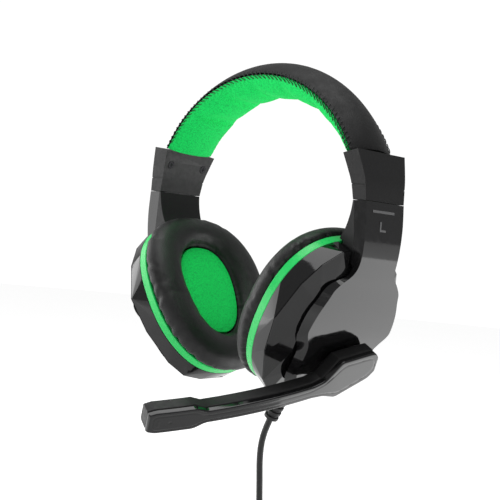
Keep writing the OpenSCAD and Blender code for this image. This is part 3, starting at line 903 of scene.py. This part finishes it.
def make_headband():
    """The green pad, puffed between its creases, and the black cover over it."""
    pad, count = band_grid("headband_underpad", pad_section)
    held = {}
    for i in range(BAND_STEPS + 1):
        at_crease = crease_at(band_angle(i))[0]
        for k in range(count):
            inner = EDGE_ROWS <= k <= BAND_ACROSS - EDGE_ROWS and EDGE_ROWS <= i <= BAND_STEPS - EDGE_ROWS
            held[i * count + k] = at_crease**2 if inner else 1.0
    inflate(pad, {i: w for i, w in held.items() if w > LEAST_HOLD}, 9, 0.02, 0.8 * MM)
    smooth_shade(subdivided(pad), 60)
    paint(pad, "green_fabric")
    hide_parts("headband_pad")
    cover, _ = band_grid("headband_top", cover_section)
    smooth_shade(cover.data, 60)
    paint(cover, "band_leatherette")
    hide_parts("headband_cover")


def make_stitches():
    """Whip stitches over both edges of the headband, slanting along the arch."""
    draw = random.Random(11)
    points, faces = [], []
    slant = math.degrees(3.4 / ARCH_W)
    for edge in (-1, 1):
        for k in range(STITCHES):
            angle = ARCH_END + STITCH_FROM + STITCH_STEP * k + draw.uniform(-0.15, 0.15)
            reach = draw.uniform(-0.25, 0.25)
            low = [(-STRIP_HALF - pad_depth(angle) * math.sin(turn) ** PAD_FULLNESS - 0.12,
                    BAND_HALF * math.cos(turn) ** PAD_EDGE) for turn in (0.24 + 0.03 * reach, 0.12, 0.04)]
            path = [(*low[0], -1.25), (*low[1], -0.75), (low[2][0], BAND_HALF + 0.3, -0.25),
                    (0.4, BAND_HALF + 0.15, 0.15), (1.3, BAND_HALF - 0.8, 0.45),
                    (1.9, BAND_HALF - 1.9, 0.6)]
            line = catmull([arch_place(angle + slant * lean, out, edge * y) for out, y, lean in path], 2)
            tube = tube_mesh("thread", line, 0.27, 6)
            base = len(points)
            points += [v.co / MM for v in tube.vertices]
            faces += [tuple(base + v for v in polygon.vertices) for polygon in tube.polygons]
            bpy.data.meshes.remove(tube)
    mesh = mesh_from("headband_stitches", points, faces)
    smooth_shade(mesh, 50)
    stitches = add_object("headband_stitches", mesh, "headband")
    paint(stitches, "thread")


# ---------- boom front ----------

BOOM_REACH, BAR_H, BOOM_FACE = 127, 8, 3.1
BOOM_DROOP = math.radians(18)
HEAD_FROM = BOOM_REACH - 24
BEND_FROM, BEND_R = 12, 390
BOOM_UP = [(-16, 6.4), (-13, 11), (-8, 11.6), (13, 12.6), (23, 2.4), (30, 1), (HEAD_FROM - 6, BAR_H - 7),
           (HEAD_FROM, 3.6), (BOOM_REACH - 2, 3.6), (BOOM_REACH + 2, 2.4)]
BOOM_DOWN = [(-16, -2.2), (-11.3, -6.7), (12, -12.4), (22, -8.3), (30, -7.2), (HEAD_FROM - 6, -7),
             (HEAD_FROM, -9.8), (BOOM_REACH - 2, -9.8), (BOOM_REACH + 2, -8.4)]
PANEL_UP = [(-16, 4), (-11, 7.6), (-6, 8.4), (11, 9.2), (22, 0.4), (32, -1.9), (HEAD_FROM - 6, -1.9),
            (HEAD_FROM + 1, 1.2), (BOOM_REACH, 1.2)]
PANEL_DOWN = [(-16, 1), (-9, -3.6), (11, -8.8), (21, -6), (32, -4.4), (HEAD_FROM - 6, -4.4),
              (HEAD_FROM + 1, -7.4), (BOOM_REACH, -7.4)]
PANEL_CORNER = 2.5
PANEL_ENDS = (-13.2, BOOM_REACH - 0.6)
MIC_S, MIC_Z = BOOM_REACH - 10, -3.1
TIP_BAR_S = BOOM_REACH - 3.4


def along_boom(s, table):
    return float(np.interp(s, [p[0] for p in table], [p[1] for p in table]))


def softened(s, table, spread=1.6):
    """A table's value with its corners rounded over a few millimetres."""
    offsets = np.linspace(-spread, spread, 9)
    low, high = table[0][0], table[-1][0]
    return float(np.mean([along_boom(min(max(s + o, low), high), table) for o in offsets]))


def boom_place(s, out, z):
    """A point of the boom: distance along the bar, outwards from its front face, and height."""
    a = max(s - BEND_FROM, 0) / BEND_R
    x = (math.cos(a) - 1) * BEND_R + out * math.cos(a)
    y = -min(s, BEND_FROM) - BEND_R * math.sin(a) - out * math.sin(a)
    c, d = math.cos(BOOM_DROOP), math.sin(BOOM_DROOP)
    return cup_place("left", HUB_N + x, HUB_W + y * c - z * d, HUB_U + y * d + z * c)


def panel_relief(s, z):
    """Height of the raised panel that follows the boom's outline, with a fine groove round it."""
    top, low = softened(s, PANEL_UP, PANEL_CORNER), softened(s, PANEL_DOWN, PANEL_CORNER)
    inside = min(top - z, z - low)
    ends = min(s - PANEL_ENDS[0], PANEL_ENDS[1] - s)
    if inside < PANEL_CORNER and ends < PANEL_CORNER:
        inside = PANEL_CORNER - math.hypot(PANEL_CORNER - inside, PANEL_CORNER - ends)
    inside = min(inside, ends)
    groove = 0.16 * math.exp(-((inside + 0.3) / 0.3) ** 2)
    mic_hole = 0.5 * math.exp(-((math.hypot(s - MIC_S, z - MIC_Z) / 0.55) ** 2))
    tip_bar = 0.12 * ease(2.2 - abs(z - MIC_Z), 0, 0.4) * ease(0.5 - abs(s - TIP_BAR_S), -0.2, 0.2)
    return 0.14 * ease(inside, -0.4, 0.5) - groove - mic_hole + tip_bar


def make_boom_front():
    """The boom's front cover, with rounded edges, its raised panel and the microphone's hole."""
    steps = np.concatenate([np.arange(-16, 36, 0.5), np.arange(36, HEAD_FROM - 8, 1.5),
                            np.arange(HEAD_FROM - 8, BOOM_REACH + 2.01, 0.5)])
    across, rounding, end_rounding = 56, 1.1, 1.2
    points = []
    for s in steps:
        top, low = softened(s, BOOM_UP), softened(s, BOOM_DOWN)
        close = min(s - steps[0], steps[-1] - s, end_rounding)
        tuck = end_rounding - math.sqrt(max(end_rounding**2 - (end_rounding - close) ** 2, 0))
        for k in range(across + 1):
            z = low + (top - low) * (0.5 - 0.5 * math.cos(math.pi * k / across))
            side = min(z - low, top - z)
            fall = rounding - math.sqrt(max(rounding**2 - max(rounding - side, 0) ** 2, 0))
            points.append(boom_place(s, -0.15 - min(fall + tuck, 2) + panel_relief(s, z), z))
        for z in (top, top - 0.4 * (top - low), low + 0.4 * (top - low), low):
            points.append(boom_place(s, -BOOM_FACE, z))
    ring = across + 5
    faces = grid_faces(len(steps), ring)
    faces.append(tuple(range(ring)))
    faces.append(tuple((len(steps) - 1) * ring + k for k in range(ring))[::-1])
    mesh = mesh_from("boom_face", points, faces)
    outwards(mesh)
    smooth_shade(mesh, 40)
    face = add_object("boom_face", mesh, "boom")
    paint(face, "gloss_black")
    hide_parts("boom_front")


# ---------- stage ----------

# The stage is in metres.
FLOOR_Z, FLOOR_RADIUS = cad_box[0][2] - 0.003, 6
FLOOR_GLOW, GLOW_FROM, GLOW_TO = 0.62, 0.4, 1.3
WORLD_AS_LIGHT, WORLD_AS_SEEN = 0.38, 1.05


def make_stage():
    """A wide pale floor that brightens away from the headset, into the white studio."""
    sides = 96
    turns = [2 * math.pi * k / sides for k in range(sides)]
    points = [(FLOOR_RADIUS * math.cos(turn), FLOOR_RADIUS * math.sin(turn), FLOOR_Z) for turn in turns]
    mesh = mesh_from("studio_floor", points, [tuple(range(sides))], 1)
    floor = bpy.data.objects.new("studio_floor", mesh)
    bpy.context.scene.collection.objects.link(floor)
    m = Shader("studio_paper", (0.86, 0.86, 0.86), 0.9)
    m.link(m.mixed(m.noise(3, 2), (0.9, 0.9, 0.9), (0.93, 0.93, 0.93)), "Base Color")
    m.bsdf.inputs["Specular IOR Level"].default_value = 0.1
    m.bsdf.inputs["Emission Color"].default_value = (1, 1, 1, 1)
    distance = m.node("VectorMath", {0: m.place}, operation="LENGTH").outputs["Value"]
    m.link(m.mapped(distance, GLOW_FROM, GLOW_TO, 0.0, FLOOR_GLOW), "Emission Strength")
    mesh.materials.append(m.material)


def area_light(name, place, size, power, target=None):
    """A soft light that faces its target, or straight up from the floor."""
    data = bpy.data.lights.new(name, "AREA")
    data.shape = "RECTANGLE"
    data.size, data.size_y = size
    data.energy = power
    light = bpy.data.objects.new(name, data)
    light.location = place
    if target is None:
        light.rotation_euler = (math.pi, 0, 0)
    else:
        light.rotation_euler = (Vector(target) - Vector(place)).to_track_quat("-Z", "Y").to_euler()
    light.visible_camera = False
    bpy.context.scene.collection.objects.link(light)


def make_world():
    """A white studio: brighter where the camera looks at it than as a light."""
    world = bpy.data.worlds.new("studio")
    bpy.context.scene.world = world
    world.use_nodes = True
    tree = world.node_tree
    background = tree.nodes["Background"]
    background.inputs["Color"].default_value = (1, 1, 1, 1)
    path = tree.nodes.new("ShaderNodeLightPath")
    strength = tree.nodes.new("ShaderNodeMapRange")
    strength.inputs["To Min"].default_value = WORLD_AS_LIGHT
    strength.inputs["To Max"].default_value = WORLD_AS_SEEN
    tree.links.new(path.outputs["Is Camera Ray"], strength.inputs["Value"])
    tree.links.new(strength.outputs["Result"], background.inputs["Strength"])


def make_lights():
    """A big light above, one on the floor behind the plate, and one off the wearer's right front."""
    make_world()
    area_light("top_light", (0.15, -0.1, 1.5), (1.6, 1.6), 22, target=(0, 0, -0.1))
    area_light("table_light", (0.47, 0.64, FLOOR_Z + 0.004), (0.9, 1.02), 4.6)
    area_light("side_light", (-1.173, -0.56, 0.15), (1.35, 1.2), 13, target=(0, 0, -0.12))


make_camera()
make_cord()
for part, (bevel_width, sharp) in MOULDED.items():
    for side_name in SIDES:
        make_moulded(f"{part}_{side_name}", bevel_width, sharp)
for part, (bevel_width, sharp) in MOULDED_ALONE.items():
    make_moulded(part, bevel_width, sharp)
for node_name, cad in nodes.items():
    paint(cad, NODE_SLOT[node_name])
    smooth_shade(cad.data, 30)
for seed, side_name in enumerate(SIDES):
    make_cushion(side_name, 20 + 2 * seed)
    make_ear_cloth(side_name)
make_headband()
make_stitches()
make_boom_front()
make_stage()
make_lights()
bpy.context.scene.view_settings.view_transform = "Standard"
